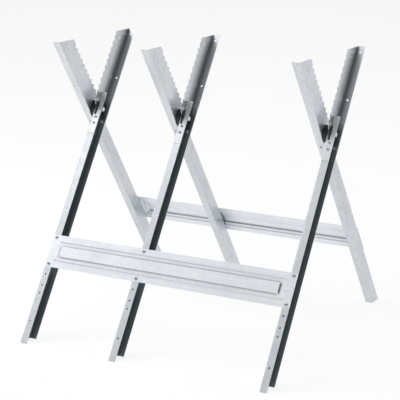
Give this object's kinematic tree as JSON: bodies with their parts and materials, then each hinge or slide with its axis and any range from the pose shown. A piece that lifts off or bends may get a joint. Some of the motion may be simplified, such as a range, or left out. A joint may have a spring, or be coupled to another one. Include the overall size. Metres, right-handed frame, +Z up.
{
  "type": "folding sawhorse",
  "caption": "Folding steel log sawhorse with toothed scissor arms, channel legs, plastic pivots and two pressed braces.",
  "frame": {"origin": "on the floor, under the middle of the sawhorse's box", "axes": "+X along the log and the braces, +Y from the front brace to the rear brace, +Z up"},
  "size_m": [0.797, 0.8374, 0.8],
  "materials": {
    "galvanised_channel": "hot-dip galvanised sheet, satin, faint spangle and drawing lines along the leg",
    "galvanised_arm": "galvanised sheet, satin, bare punched tooth edges",
    "galvanised_brace": "galvanised sheet, satin, pressed",
    "zinc_fasteners": "bright zinc plate",
    "black_plastic": "moulded nylon, matt"
  },
  "bodies": {
    "front_frame": {"leg_front_left": "galvanised_channel", "leg_front_middle": "galvanised_channel", "leg_front_right": "galvanised_channel", "arm_front_left": "galvanised_arm", "arm_front_middle": "galvanised_arm", "arm_front_right": "galvanised_arm", "brace_front": "galvanised_brace", "brace_bolts_front": "zinc_fasteners", "brace_nuts_front": "zinc_fasteners", "splice_bolts_front": "zinc_fasteners", "splice_nuts_front": "zinc_fasteners", "stop_disc_left": "black_plastic", "stop_disc_middle": "black_plastic", "stop_disc_right": "black_plastic", "pivot_block_front_left": "black_plastic", "pivot_block_front_middle": "black_plastic", "pivot_block_front_right": "black_plastic", "pivot_bolt_left": "zinc_fasteners", "pivot_bolt_middle": "zinc_fasteners", "pivot_bolt_right": "zinc_fasteners", "pivot_nut_left": "zinc_fasteners", "pivot_nut_middle": "zinc_fasteners", "pivot_nut_right": "zinc_fasteners", "pivot_washers": "zinc_fasteners"},
    "rear_frame": {"leg_rear_left": "galvanised_channel", "leg_rear_middle": "galvanised_channel", "leg_rear_right": "galvanised_channel", "arm_rear_left": "galvanised_arm", "arm_rear_middle": "galvanised_arm", "arm_rear_right": "galvanised_arm", "brace_rear": "galvanised_brace", "brace_bolts_rear": "zinc_fasteners", "brace_nuts_rear": "zinc_fasteners", "splice_bolts_rear": "zinc_fasteners", "splice_nuts_rear": "zinc_fasteners", "slot_disc_left": "black_plastic", "slot_disc_middle": "black_plastic", "slot_disc_right": "black_plastic", "pivot_block_rear_left": "black_plastic", "pivot_block_rear_middle": "black_plastic", "pivot_block_rear_right": "black_plastic"}
  },
  "joints": [
    {"name": "fold", "type": "hinge", "parent": "front_frame", "child": "rear_frame", "pos_m": [0, 0, 0.585], "axis": [1, 0, 0], "range_deg": [-67, 0]}
  ]
}
